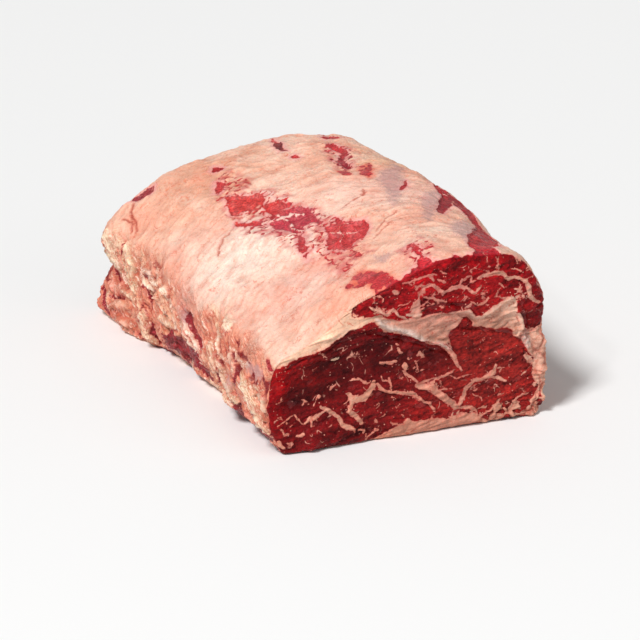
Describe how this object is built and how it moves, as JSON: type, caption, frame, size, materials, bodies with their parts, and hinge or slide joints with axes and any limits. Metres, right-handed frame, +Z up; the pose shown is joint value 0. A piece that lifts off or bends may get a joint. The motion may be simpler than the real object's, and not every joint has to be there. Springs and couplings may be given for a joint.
{
  "type": "raw beef ribeye loin",
  "caption": "Boneless raw beef ribeye loin lying on its flat underside, with a domed fat cap on top, a ragged fatty side and a marbled cut face at one end.",
  "frame": {"origin": "middle of the bounding box's underside, on the surface the loin lies on", "axes": "+Y along the loin, away from the cut face that the picture shows; +X to the right of that face; +Z up"},
  "size_m": [0.1988, 0.288, 0.1131],
  "materials": {
    "raw_beef": "moist fat and raw meat"
  },
  "bodies": {
    "root": {"ribeye_loin": "raw_beef"}
  },
  "joints": []
}
